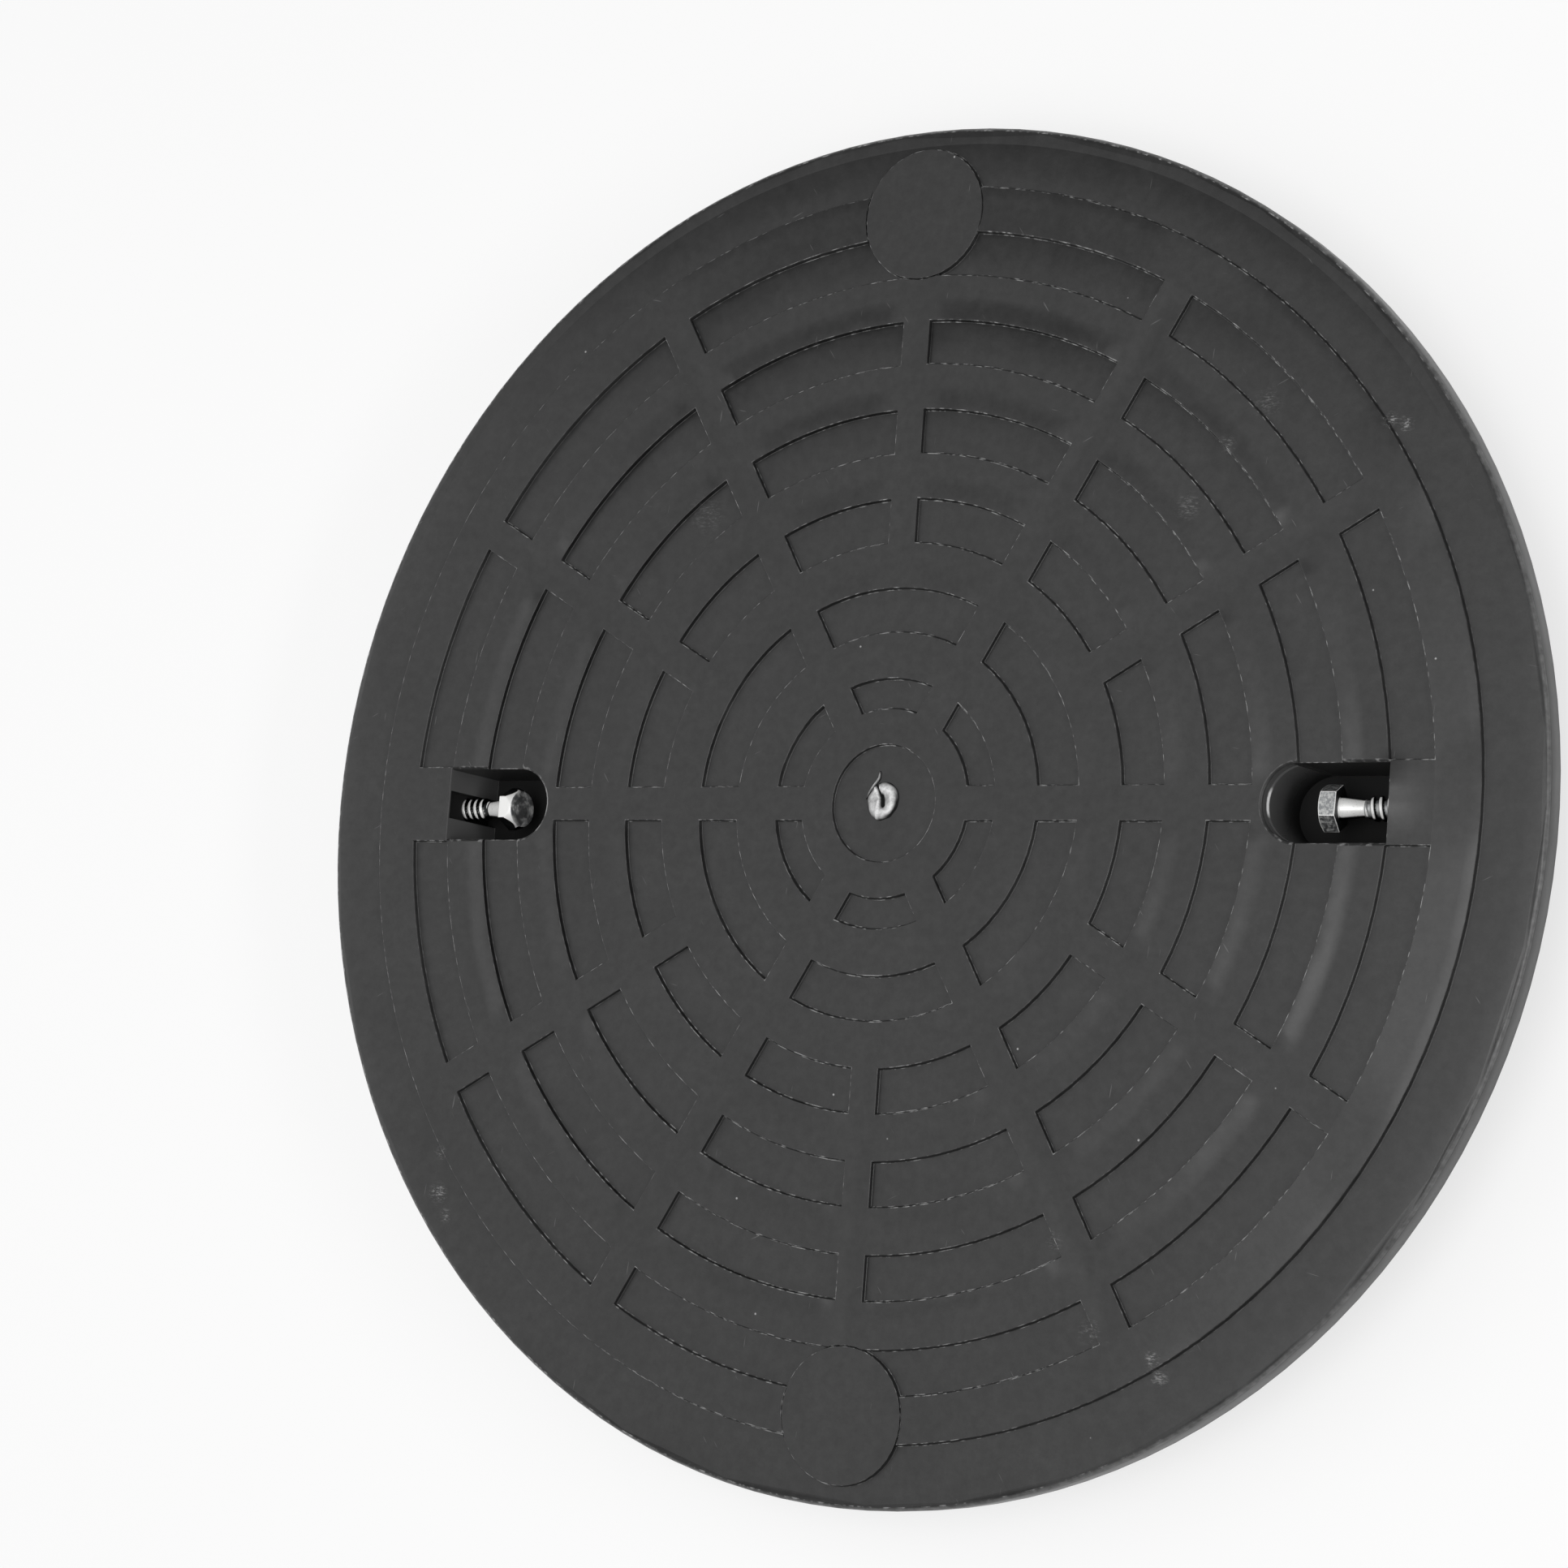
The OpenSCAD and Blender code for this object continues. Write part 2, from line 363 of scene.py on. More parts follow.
        # The swell beyond the right pocket: steep at the pocket and falling outwards.
        across = add(tree, "Math", {0: split.outputs[1], 1: self.swell_y_mm * MM}, operation="SUBTRACT")
        beside = add(tree, "Math", {0: across}, operation="ABSOLUTE")
        start = self.swell_from_mm * MM
        end = start + self.swell_run_mm * MM
        falling = add(tree, "MapRange", {0: split.outputs[0], 1: start, 2: end, 3: 1.0, 4: 0.0})
        swell = add(tree, "Math", {0: falling, 1: falling}, operation="MULTIPLY")
        rising = {0: split.outputs[0], 1: start - 3 * MM, 2: start, 3: 0.0, 4: self.swell_mm}
        for part in (
            add(tree, "MapRange", {0: beside, 1: 15 * MM, 2: 2 * MM}, **SMOOTH),
            add(tree, "MapRange", rising),
        ):
            swell = add(tree, "Math", {0: swell, 1: part}, operation="MULTIPLY")
        total = add(tree, "Math", {0: swell, 1: total}, operation="ADD")

        # The roll-offs: the crown's are full on its warped side and eased near the bars.
        side = math.radians(self.warp_side_deg)
        toward = add(tree, "Math", {0: angle, 1: side}, operation="SUBTRACT")
        facing = add(tree, "Math", {0: toward}, operation="COSINE")
        warped = add(tree, "MapRange", {0: facing, 1: -0.5, 2: 0.3})
        off_rib = add(tree, "MapRange", {0: aside, 1: 4.0, 2: 26.0, 3: 0.35, 4: 1.0}, **SMOOTH)
        flange = add(tree, "Math", {0: radius, 1: self.crown_r_mm}, operation="GREATER_THAN")
        eased = add(tree, "Math", {0: off_rib, 1: flange}, operation="MAXIMUM")
        warped = add(tree, "Math", {0: warped, 1: eased}, operation="MULTIPLY")
        for start, end, fall, bend, warps in self.roll_offs:
            past = add(tree, "MapRange", {0: radius, 1: start, 2: end, 3: 0.0, 4: end - start})
            curve = add(tree, "Math", {0: past, 1: -bend, 2: -fall}, operation="MULTIPLY_ADD")
            drop = add(tree, "Math", {0: past, 1: curve}, operation="MULTIPLY")
            share = warped if warps else 1.0
            total = add(tree, "Math", {0: drop, 1: share, 2: total}, operation="MULTIPLY_ADD")

        # The pads: no relief on what stands proud of the crown.
        pad_z = (COVER_TOP + 0.15) * MM
        off_pad = add(tree, "MapRange", {0: split.outputs[2], 1: pad_z, 2: (COVER_TOP + 0.02) * MM})
        return add(tree, "Math", {0: total, 1: off_pad}, operation="MULTIPLY")

    def rubbed(self, tree: NodeTree, place: NodeSocket) -> Node:
        """Where the plastic is pale, from handling and as painted highlight.

        Sharp edges of the face are pale in a broken line, a painted highlight that is strongest on edges
        facing away from the right, and so are two short pieces of the left pocket's inner rim. The rim's
        eased edge wears pale in a broken line. A few spots are scraped, and fine scratches and grit lie
        anywhere.

        Args:
            tree: The material's node tree.
            place: The point on the object, in metres.

        Returns:
            A node for the share of pale plastic, from 0 to 1.
        """
        # Edges of the face: eased strips that are neither flat nor upright, pale in a broken line as painted
        # highlight, most where they face away from the right.
        way = add(tree, "NewGeometry").outputs["True Normal"]
        upward = add(tree, "SeparateXYZ", {0: way}).outputs[2]
        height = add(tree, "SeparateXYZ", {0: place}).outputs[2]
        steep = add(tree, "MapRange", {0: upward, 1: 0.985, 2: 0.95})
        not_wall = add(tree, "MapRange", {0: upward, 1: 0.2, 2: 0.4})
        on_top = add(tree, "MapRange", {0: height, 1: (COVER_TOP - 2.2) * MM, 2: (COVER_TOP - 1.6) * MM})
        broken = add(tree, "TexNoise", {"Vector": place, "Scale": 1000 / self.edge_break_mm, "Detail": 3.0})
        total = add(tree, "MapRange", {0: broken, 1: 0.49, 2: 0.66, 3: 0.02, 4: self.lip_glint})
        across = add(tree, "VectorMath", {0: way, 1: self.glint_away_side}, operation="DOT_PRODUCT")
        lit_lip = add(tree, "MapRange", {0: across.outputs[1], 1: 0.34, 2: 0.12, 3: 0.02, 4: 1.0})
        for part in (steep, not_wall, on_top, lit_lip):
            total = add(tree, "Math", {0: total, 1: part}, operation="MULTIPLY")

        # Painted highlight: two short pieces of the left pocket's inner rim, pale in full.
        marks = []
        for x, y, reach in self.pocket_glints:
            spot = (x * MM, y * MM, COVER_TOP * MM)
            off = add(tree, "VectorMath", {0: place, 1: spot}, operation="DISTANCE")
            near = add(tree, "MapRange", {0: off.outputs[1], 1: reach * MM, 2: reach / 2 * MM})
            edge = add(tree, "Math", {0: near, 1: steep}, operation="MULTIPLY")
            marks.append(add(tree, "Math", {0: edge, 1: not_wall}, operation="MULTIPLY"))

        # The rim: its eased edge only.
        radius = self.radius(tree, place)
        rim = add(tree, "MapRange", {0: radius, 1: self.rim_r_mm - 1.3, 2: self.rim_r_mm - 0.8})
        worn_rim = add(tree, "MapRange", {0: broken, 1: 0.3, 2: 0.7, 3: 0.12, 4: self.rim_wear})
        edge = add(tree, "Math", {0: rim, 1: worn_rim}, operation="MULTIPLY")
        marks.append(add(tree, "Math", {0: edge, 1: not_wall}, operation="MULTIPLY"))

        # The grit: a speck in one cell of seven.
        grit = add(tree, "TexVoronoi", {"Vector": place, "Scale": 1000 / self.grit_mm})
        grain = add(tree, "MapRange", {0: grit.outputs["Distance"], 1: 0.04, 2: 0.02})
        lot = add(tree, "SeparateColor", {0: grit.outputs["Color"]})
        rare = add(tree, "Math", {0: lot.outputs[0], 1: 0.86}, operation="GREATER_THAN")
        marks.append(add(tree, "Math", {0: grain, 1: rare}, operation="MULTIPLY"))

        # The scratches: the peaks of a noise that is stretched out along each direction.
        for turn, scale, level in self.scratches:
            way = (0.0, 0.0, math.radians(turn))
            size = (1 / scale, 1 / (scale * self.scratch_stretch), 1.0)
            laid = {"Vector": place, "Rotation": way, "Scale": size}
            lay = add(tree, "Mapping", laid, vector_type="TEXTURE")
            draw = add(tree, "TexNoise", {"Vector": lay, "Scale": 1.0, "Detail": 1.0})
            marks.append(add(tree, "MapRange", {0: draw, 1: level, 2: level + 0.03, 3: 0.0, 4: 0.2}))

        # The scrapes: torn patches, each fading from its middle.
        dragged = {"Vector": place, "Scale": (0.45, 1.4, 1.0), "Rotation": (0.0, 0.0, 0.5)}
        drag = add(tree, "Mapping", dragged)
        torn = {"Vector": drag, "Scale": 1000 / self.scrape_mm, "Detail": 4.0, "Roughness": 0.75}
        scrape = add(tree, "TexNoise", torn | {"Distortion": 0.6})
        scraped = add(tree, "MapRange", {0: scrape, 1: 0.5, 2: 0.68})
        for x, y, reach, strength in self.scuffs:
            spot = (x * MM, y * MM, COVER_TOP * MM)
            off = add(tree, "VectorMath", {0: place, 1: spot}, operation="DISTANCE")
            fading = {0: off.outputs[1], 1: reach * MM, 2: 0.0, 3: 0.0, 4: strength}
            near = add(tree, "MapRange", fading, **SMOOTH)
            marks.append(add(tree, "Math", {0: near, 1: scraped}, operation="MULTIPLY"))

        for mark in marks:
            total = add(tree, "Math", {0: total, 1: mark}, operation="MAXIMUM")
        return total

    def build(self) -> Material:
        """Make the material.

        Returns:
            The finished material.
        """
        material, tree = start_material(self.name)
        place = add(tree, "TexCoord").outputs["Object"]
        relief = self.relief(tree, place)
        pores = {"Vector": place, "Scale": 1000 / self.grain_mm, "Detail": 3.0, "Roughness": 0.6}
        grain = add(tree, "TexNoise", pores)
        wave = add(tree, "TexNoise", {"Vector": place, "Scale": 1000 / self.wave_mm, "Detail": 2.0})
        fine = add(tree, "Math", {0: grain, 1: self.grain_rise_mm}, operation="MULTIPLY")
        coarse = add(tree, "Math", {0: wave, 1: self.wave_rise_mm}, operation="MULTIPLY")
        texture = add(tree, "Math", {0: fine, 1: coarse}, operation="ADD")
        height = add(tree, "Math", {0: texture, 1: relief}, operation="ADD")
        bump = add(tree, "Bump", {"Height": height, "Distance": MM, "Strength": 1.0})
        clouds = {"Vector": place, "Scale": 1000 / self.cloud_mm, "Detail": 5.0, "Roughness": 0.65}
        cloud = add(tree, "TexNoise", clouds)
        shade = add(tree, "MapRange", {0: cloud, 1: 0.3, 2: 0.7, 3: 0.85, 4: 1.15})
        flecks = {"Vector": place, "Scale": 1000 / self.fleck_mm, "Detail": 4.0, "Roughness": 0.75}
        fleck = add(tree, "TexNoise", flecks)
        flecked = add(tree, "MapRange", {0: fleck, 1: 0.3, 2: 0.7, 3: 0.7, 4: 1.3})
        tone = add(tree, "Math", {0: shade, 1: flecked}, operation="MULTIPLY")
        toned = add(tree, "VectorMath", {0: linear(self.colour)[:3], "Scale": tone}, operation="SCALE")
        # The pale share: wear, and painted highlight on the edges.
        pale_share = self.rubbed(tree, place)
        face = add(tree, "Mix", {"Factor": pale_share, 6: toned, 7: linear(self.wear_and_highlight_colour)}, data_type="RGBA")
        gloss = {0: cloud, 1: 0.3, 2: 0.7, 3: self.roughness - 0.04, 4: self.roughness + 0.04}
        rough = add(tree, "MapRange", gloss)
        surface = {"Base Color": face.outputs[2], "Roughness": rough, "Normal": bump, "IOR": PLASTIC_IOR}
        shader = add(tree, "BsdfPrincipled", surface)
        add(tree, "OutputMaterial", {0: shader})
        return material


@dataclass(frozen=True)
class PolishedPolyethylene:
    """Black polyethylene against a polished core pin.

    It gives the eye a deep glossy black inside the pockets, with soft reflections that run down the walls.
    Its colour can fade to another towards the bottom, which on some walls is painted shade and on others
    painted light, and a pale line along the faint ledge where two parts of the core pin meet is a painted
    highlight.
    """

    name: str = "polyethylene_black_core_polished"
    colour: str = "#2c2c2c"
    roughness: float = 0.3
    deep: str = "#2c2c2c"
    drag_mm: float = 1000 / 700
    ledge_mm: float = 0.0
    ledge_half_mm: float = 1.2
    ledge_at_mm: tuple[float, float, float] = (133.8, 0.6, 35.6)
    # The painted highlight line: its reach round one spot, and its colour.
    highlight_reach_mm: float = 5.0
    rubbed: str = "#e4e4e4"

    def build(self) -> Material:
        """Make the material.

        Returns:
            The finished material.
        """
        material, tree = start_material(self.name)
        place = add(tree, "TexCoord").outputs["Object"]
        drag = add(tree, "Mapping", {"Vector": place, "Scale": (1.0, 1.0, 0.15)})
        draw = add(tree, "TexNoise", {"Vector": drag, "Scale": 1000 / self.drag_mm, "Detail": 3.0})
        level = add(tree, "SeparateXYZ", {0: place}).outputs[2]
        low_z, high_z = ((self.ledge_at_mm[2] + side * self.ledge_half_mm) * MM for side in (-1, 1))
        ledge = add(tree, "MapRange", {0: level, 1: low_z, 2: high_z, 3: self.ledge_mm, 4: 0.0}, **SMOOTH)
        height = add(tree, "Math", {0: draw, 1: 0.03, 2: ledge}, operation="MULTIPLY_ADD")
        bump = add(tree, "Bump", {"Height": height, "Distance": MM})
        # Towards the bottom the colour fades to deep: painted shade on the inner end walls, painted light on
        # the outer walls.
        low = add(tree, "MapRange", {0: level, 1: 37 * MM, 2: 14 * MM})
        shades = {"Factor": low, 6: linear(self.colour), 7: linear(self.deep)}
        tone = add(tree, "Mix", shades, data_type="RGBA")
        # Painted highlight: a pale line along the ledge, near one spot.
        if self.ledge_mm > 0:
            spot = tuple(value * MM for value in self.ledge_at_mm)
            off = add(tree, "VectorMath", {0: place, 1: spot}, operation="DISTANCE")
            reach = self.highlight_reach_mm * MM
            near = add(tree, "MapRange", {0: off.outputs[1], 1: reach, 2: 0.6 * reach})
            below = add(tree, "Math", {0: level, 1: spot[2]}, operation="SUBTRACT")
            away = add(tree, "Math", {0: below}, operation="ABSOLUTE")
            line = add(tree, "MapRange", {0: away, 1: 1.3 * MM, 2: 0.5 * MM, 3: 0.0, 4: 0.9})
            highlight_line = add(tree, "Math", {0: near, 1: line}, operation="MULTIPLY")
            shades = {"Factor": highlight_line, 6: tone.outputs[2], 7: linear(self.rubbed)}
            tone = add(tree, "Mix", shades, data_type="RGBA")
        surface = {"Base Color": tone.outputs[2], "Roughness": self.roughness, "Normal": bump}
        shader = add(tree, "BsdfPrincipled", surface | {"IOR": PLASTIC_IOR})
        add(tree, "OutputMaterial", {0: shader})
        return material


@dataclass(frozen=True)
class TornPolyethylene:
    """Polyethylene torn off at the gate while warm.

    It gives the eye a bright silky lump, pale where it stands high, partly from stretching and partly as
    painted highlight, and dark in its folds and at its base, which is painted shade.
    """

    name: str = "polyethylene_gate_torn"
    pale: str = "#ececec"
    dark: str = "#161616"
    pale_from_to_mm: tuple[float, float] = (0.15, 1.3)
    streak_mm: float = 1000 / 600

    def build(self) -> Material:
        """Make the material.

        Returns:
            The finished material.
        """
        material, tree = start_material(self.name)
        place = add(tree, "TexCoord").outputs["Object"]
        split = add(tree, "SeparateXYZ", {0: place})
        low_z, high_z = ((HUB_FLOOR + rise) * MM for rise in self.pale_from_to_mm)
        # Painted by height: pale up high, partly as painted highlight, and dark at the base and in the folds
        # as painted shade.
        raised = add(tree, "MapRange", {0: split.outputs[2], 1: low_z, 2: high_z}, **SMOOTH)
        streaks = {"Vector": place, "Scale": 1000 / self.streak_mm, "Detail": 4.0, "Roughness": 0.6}
        streak = add(tree, "TexNoise", streaks)
        part = add(tree, "MapRange", {0: streak, 1: 0.3, 2: 0.65, 3: 0.5, 4: 1.0})
        amount = add(tree, "Math", {0: raised, 1: part}, operation="MULTIPLY")
        shades = {"Factor": amount, 6: linear(self.dark), 7: linear(self.pale)}
        colour = add(tree, "Mix", shades, data_type="RGBA")
        gloss = add(tree, "MapRange", {0: raised, 1: 0.0, 2: 0.4, 3: 0.05, 4: 0.5})
        bump = add(tree, "Bump", {"Height": streak, "Distance": 0.15 * MM})
        surface = {"Base Color": colour.outputs[2], "Roughness": 0.3, "Normal": bump, "IOR": PLASTIC_IOR}
        shader = add(tree, "BsdfPrincipled", surface | {"Specular IOR Level": gloss})
        add(tree, "OutputMaterial", {0: shader})
        return material


@dataclass(frozen=True)
class ZincPlatedSteel:
    """Cold-formed steel with bright zinc plating.

    It gives the eye a hard silver glint with soft blotches, chalky white bloom on the faces that turn up,
    and a darker colour on the faces that turn down or aside, which is painted shade.
    """

    name: str
    colour: str
    bloom: str
    rough_from: float = 0.34
    rough_to: float = 0.52
    grimed: str = "#8c8e90"
    turned_from: float = 0.4
    turned_to: float = 0.64
    chalk_metal: float = 0.35
    chalk_least: float = 0.15
    blotch_mm: float = 3.8
    grain_mm: float = 1000 / 1800

    def build(self) -> Material:
        """Make the material.

        Returns:
            The finished material.
        """
        material, tree = start_material(self.name)
        place = add(tree, "TexCoord").outputs["Object"]
        blotches = {"Vector": place, "Scale": 1000 / self.blotch_mm, "Detail": 4.0, "Roughness": 0.7}
        patch = add(tree, "TexNoise", blotches)
        fine = add(tree, "TexNoise", {"Vector": place, "Scale": 1000 / self.grain_mm, "Detail": 3.0})
        chalk = add(tree, "MapRange", {0: patch, 1: 0.42, 2: 0.62, 3: self.chalk_least, 4: 0.85}, **SMOOTH)
        shades = {"Factor": chalk, 6: linear(self.colour), 7: linear(self.bloom)}
        colour = add(tree, "Mix", shades, data_type="RGBA")
        # Painted shade: faces that turn down or aside fade to the shade colour and lose their bloom.
        way = add(tree, "NewGeometry").outputs["Normal"]
        upward = add(tree, "SeparateXYZ", {0: way}).outputs[2]
        lit_share = add(tree, "MapRange", {0: upward, 1: self.turned_from, 2: self.turned_to}, **SMOOTH)
        shades = {"Factor": lit_share, 6: linear(self.grimed), 7: colour.outputs[2]}
        toned = add(tree, "Mix", shades, data_type="RGBA")
        bloom = add(tree, "Math", {0: chalk, 1: lit_share}, operation="MULTIPLY")
        metal = add(tree, "MapRange", {0: bloom, 3: 1.0, 4: self.chalk_metal})
        rough = add(tree, "MapRange", {0: fine, 1: 0.3, 2: 0.7, 3: self.rough_from, 4: self.rough_to})
        bump = add(tree, "Bump", {"Height": fine, "Distance": 0.04 * MM})
        surface = {"Base Color": toned.outputs[2], "Metallic": metal, "Roughness": rough, "Normal": bump}
        shader = add(tree, "BsdfPrincipled", surface)
        add(tree, "OutputMaterial", {0: shader})
        return material


@dataclass(frozen=True)
class PaleFloor:
    """White studio floor that fades to the background and keeps a shadow."""

    name: str = "floor_white_sheet"
    paint: str = "#fafafa"
    glow: float = 0.7

    def build(self) -> Material:
        """Make the material.

        Returns:
            The finished material.
        """
        material, tree = start_material(self.name)
        path = add(tree, "LightPath")
        seen = path.outputs["Is Camera Ray"]
        for ray in ("Is Glossy Ray", "Is Transmission Ray"):
            seen = add(tree, "Math", {0: seen, 1: path.outputs[ray]}, operation="ADD", use_clamp=True)
        share = add(tree, "Math", {0: seen, 1: self.glow}, operation="MULTIPLY")
        paint = add(tree, "BsdfDiffuse", {"Color": linear(self.paint)})
        glow = add(tree, "Emission", {"Color": (1.0, 1.0, 1.0, 1.0), "Strength": 1.0})
        mixed = add(tree, "MixShader", {0: share, 1: paint, 2: glow})
        add(tree, "OutputMaterial", {0: mixed})
        return material


@dataclass
class CoverMoulding:
    """The one-piece moulding, with eased edges and a finish for each zone."""

    face: Material
    core: Material
    depth: Material
    wall: Material
    end: Material
    edge_mm: float = 0.3
    pocket_in_mm: float = 133.8
    pocket_out_mm: float = 175.0
    slot_back_mm: float = 178.0
    pocket_half_mm: float = 12.2
    pocket_floor_mm: float = 12.0
    mouth_mm: float = 0.9
    stub_r_mm: float = 6.9

    def zone(self, centre: Vector, normal: Vector) -> Zone:
        """Which zone of the moulding a face belongs to.

        Args:
            centre: The face's centre, in metres.
            normal: The face's normal.

        Returns:
            The zone, where the slot in a pocket's outer wall counts as its depth.
        """
        x, y, z = (abs(centre.x) / MM, abs(centre.y) / MM, centre.z / MM)
        inside = (
            self.pocket_in_mm - 0.2 < x < self.slot_back_mm + 0.2
            and y < self.pocket_half_mm + 0.2
            and self.pocket_floor_mm - 0.1 < z < COVER_TOP - self.mouth_mm
        )
        if not inside:
            return Zone.FACE
        if abs(x - self.pocket_out_mm) < 0.1 and abs(normal.x) > 0.9:
            return Zone.OUTER_WALL
        if x < self.pocket_in_mm + self.pocket_half_mm and centre.x * normal.x > 0 and abs(normal.x) > 0.2:
            return Zone.INNER_END
        return Zone.POCKET_DEPTH if normal.z > 0.9 or x > self.pocket_out_mm + 0.1 else Zone.POCKET_WALL

    def on_stub(self, centre: Vector, _normal: Vector) -> bool:
        """Whether a face belongs to the plain gate stub of the solid."""
        return math.hypot(centre.x, centre.y) / MM < self.stub_r_mm and centre.z / MM > HUB_FLOOR + 0.01

    def build(self, node: Object) -> Object:
        """Model the moulding from its solid.

        Args:
            node: The solid's object.

        Returns:
            The finished piece.
        """
        piece = node.copy()
        piece.data = node.data.copy()
        piece.name = piece.data.name = "cover_moulding"
        piece.parent = None
        piece.matrix_world = Matrix.Identity(4)
        for key in list(piece.keys()):
            del piece[key]
        bpy.context.scene.collection.objects.link(piece)
        activate(piece)
        bpy.ops.object.mode_set(mode="EDIT")
        bpy.ops.mesh.select_all(action="SELECT")
        bpy.ops.mesh.remove_doubles(threshold=2e-6)
        bpy.ops.object.mode_set(mode="OBJECT")
        pick_faces(piece, self.on_stub)
        bpy.ops.object.mode_set(mode="EDIT")
        bpy.ops.mesh.delete(type="FACE")
        bpy.ops.mesh.select_mode(type="EDGE")
        bpy.ops.mesh.select_all(action="DESELECT")
        bpy.ops.mesh.select_non_manifold()
        bpy.ops.mesh.edge_face_add()
        bpy.ops.mesh.select_all(action="SELECT")
        bpy.ops.mesh.dissolve_limited(angle_limit=math.radians(1.0), delimit=set())
        bpy.ops.object.mode_set(mode="OBJECT")
        piece.data.materials.clear()
        for finish in (self.face, self.core, self.depth, self.wall, self.end):
            piece.data.materials.append(finish)
        for polygon in piece.data.polygons:
            polygon.material_index = self.zone(polygon.center, polygon.normal).value
        apply_modifier(
            piece,
            "BEVEL",
            width=self.edge_mm * MM,
            segments=2,
            limit_method="ANGLE",
            angle_limit=math.radians(28),
            use_clamp_overlap=False,
            harden_normals=True,
        )
        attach(piece, "cover_body")
        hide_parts("cover")
        return piece


@dataclass
class GateStub:
    """The torn lump at the centre, where the plastic entered the mould."""

    finish: Material
    half_x_mm: float = 5.7
    half_y_mm: float = 6.4
    rise_mm: float = 1.35
    centre_x_mm: float = -0.7
    centre_y_mm: float = 0.8
    folds: tuple[Stroke, ...] = (
        (-0.4, 0.78, -0.1, 0.25, 0.08),
        (-0.05, 0.25, 0.04, -0.22, 0.12),
    )
    ridges: tuple[Stroke, ...] = (
        (-0.5, 0.68, -0.19, 0.16, 0.07),
        (-0.2, -0.02, -0.3, -0.95, 0.09),
    )

    def strokes(self, point: Vector, lines: tuple[Stroke, ...]) -> float:
        """How near a point is to the nearest of some short lines.

        Args:
            point: The point on a ball of radius 1.
            lines: Start, end and width of each line.

        Returns:
            1 on a line, falling to 0 away from it.
        """
        best = 0.0
        for x0, y0, x1, y1, width in lines:
            run = Vector((x1 - x0, y1 - y0))
            away = Vector((point.x - x0, point.y - y0))
            share = clamp(away.dot(run) / run.length_squared)
            best = max(best, math.exp(-(((away - share * run).length / width) ** 2)))
        return best

    def sculpt(self, point: Vector) -> Vector:
        """Move one point of the starting ball to its place on the lump.

        Args:
            point: The point on a ball of radius 1.

        Returns:
            The point in millimetres, in the cover's frame.
        """
        angle = math.atan2(point.y, point.x)
        across = min(1.0, math.hypot(point.x, point.y))
        wobble = 1 + 0.04 * math.sin(2 * angle + 0.7) + 0.05 * noise.noise(point * 2.3)
        crown = math.exp(-(((across - 0.68) / 0.27) ** 2))
        left = clamp(-point.x * 1.6)
        dome = math.sqrt(max(0.0, 1 - across**6))
        undercut = clamp(2.2 * math.cos(angle + 0.5) - 1.1)
        skirt = 1 - clamp((across - 0.83) / 0.06) * undercut
        share = 0.45 + 0.55 * crown - 0.3 * left * crown
        share -= 0.75 * self.strokes(point, self.folds)
        share += 0.7 * self.strokes(point, self.ridges)
        up = self.rise_mm * dome * (0.12 + 0.88 * skirt) * max(0.05, share)
        up += 0.1 * dome * noise.noise(point * 5.1)
        z = HUB_FLOOR + (min(up, self.rise_mm) if point.z >= 0 else -0.3 * dome)
        x = self.half_x_mm * wobble * point.x
        y = self.half_y_mm * wobble * point.y
        return Vector((self.centre_x_mm + x, self.centre_y_mm + y, z))

    def build(self) -> Object:
        """Model the lump.

        Returns:
            The finished piece.
        """
        bpy.ops.object.select_all(action="DESELECT")
        bpy.ops.mesh.primitive_uv_sphere_add(segments=96, ring_count=72, radius=1.0)
        piece = bpy.context.object
        piece.name = piece.data.name = "gate_stub"
        for vertex in piece.data.vertices:
            vertex.co = self.sculpt(vertex.co) * MM
        piece.data.materials.append(self.finish)
        activate(piece)
        bpy.ops.object.shade_smooth()
        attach(piece, "cover_body")
        return piece


@dataclass
class GateFlash:
    """The thin fin that squeezed out beside the gate and lies on the hub."""

    finish: Material
    route_mm: tuple[tuple[float, float], ...] = (
        (-7.1, 1.3),
        (-5.8, 3.9),
        (-4.3, 6.0),
        (-3.2, 7.3),
        (-2.5, 8.4),
        (-2.4, 9.6),
        (-2.4, 10.7),
    )
    half_mm: float = 0.5
    rise_mm: float = 0.8

    def lay(self, point: Vector) -> Vector:
        """Move one point of the starting ball to its place on the fin.

        Args:
            point: The point on a ball of radius 1.

        Returns:
            The point in millimetres, in the cover's frame.
        """
        along = (point.x + 1) / 2 * (len(self.route_mm) - 1)
        index = min(int(along), len(self.route_mm) - 2)
        start, end = (Vector(self.route_mm[i]) for i in (index, index + 1))
        middle = start.lerp(end, along - index)
        aside = (end - start).orthogonal().normalized()
        thin = math.sqrt(max(0.0, 1 - point.x**4))
        width = self.half_mm * thin * point.y / max(0.05, math.sqrt(max(0.0, 1 - point.x**2)))
        spot = middle + aside * width
        rise = self.rise_mm * point.z if point.z > 0 else 0.2 * point.z
        return Vector((spot.x, spot.y, HUB_FLOOR + rise))

    def build(self) -> Object:
        """Model the fin.

        Returns:
            The finished piece.
        """
        bpy.ops.object.select_all(action="DESELECT")
        lying = (0, math.pi / 2, 0)
        bpy.ops.mesh.primitive_uv_sphere_add(segments=24, ring_count=40, radius=1.0, rotation=lying)
        piece = bpy.context.object
        activate(piece)
        bpy.ops.object.transform_apply(location=True, rotation=True, scale=True)
        piece.name = piece.data.name = "gate_flash"
        for vertex in piece.data.vertices:
            vertex.co = self.lay(vertex.co) * MM
        piece.data.materials.append(self.finish)
        bpy.ops.object.shade_smooth()
        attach(piece, "cover_body")
        return piece


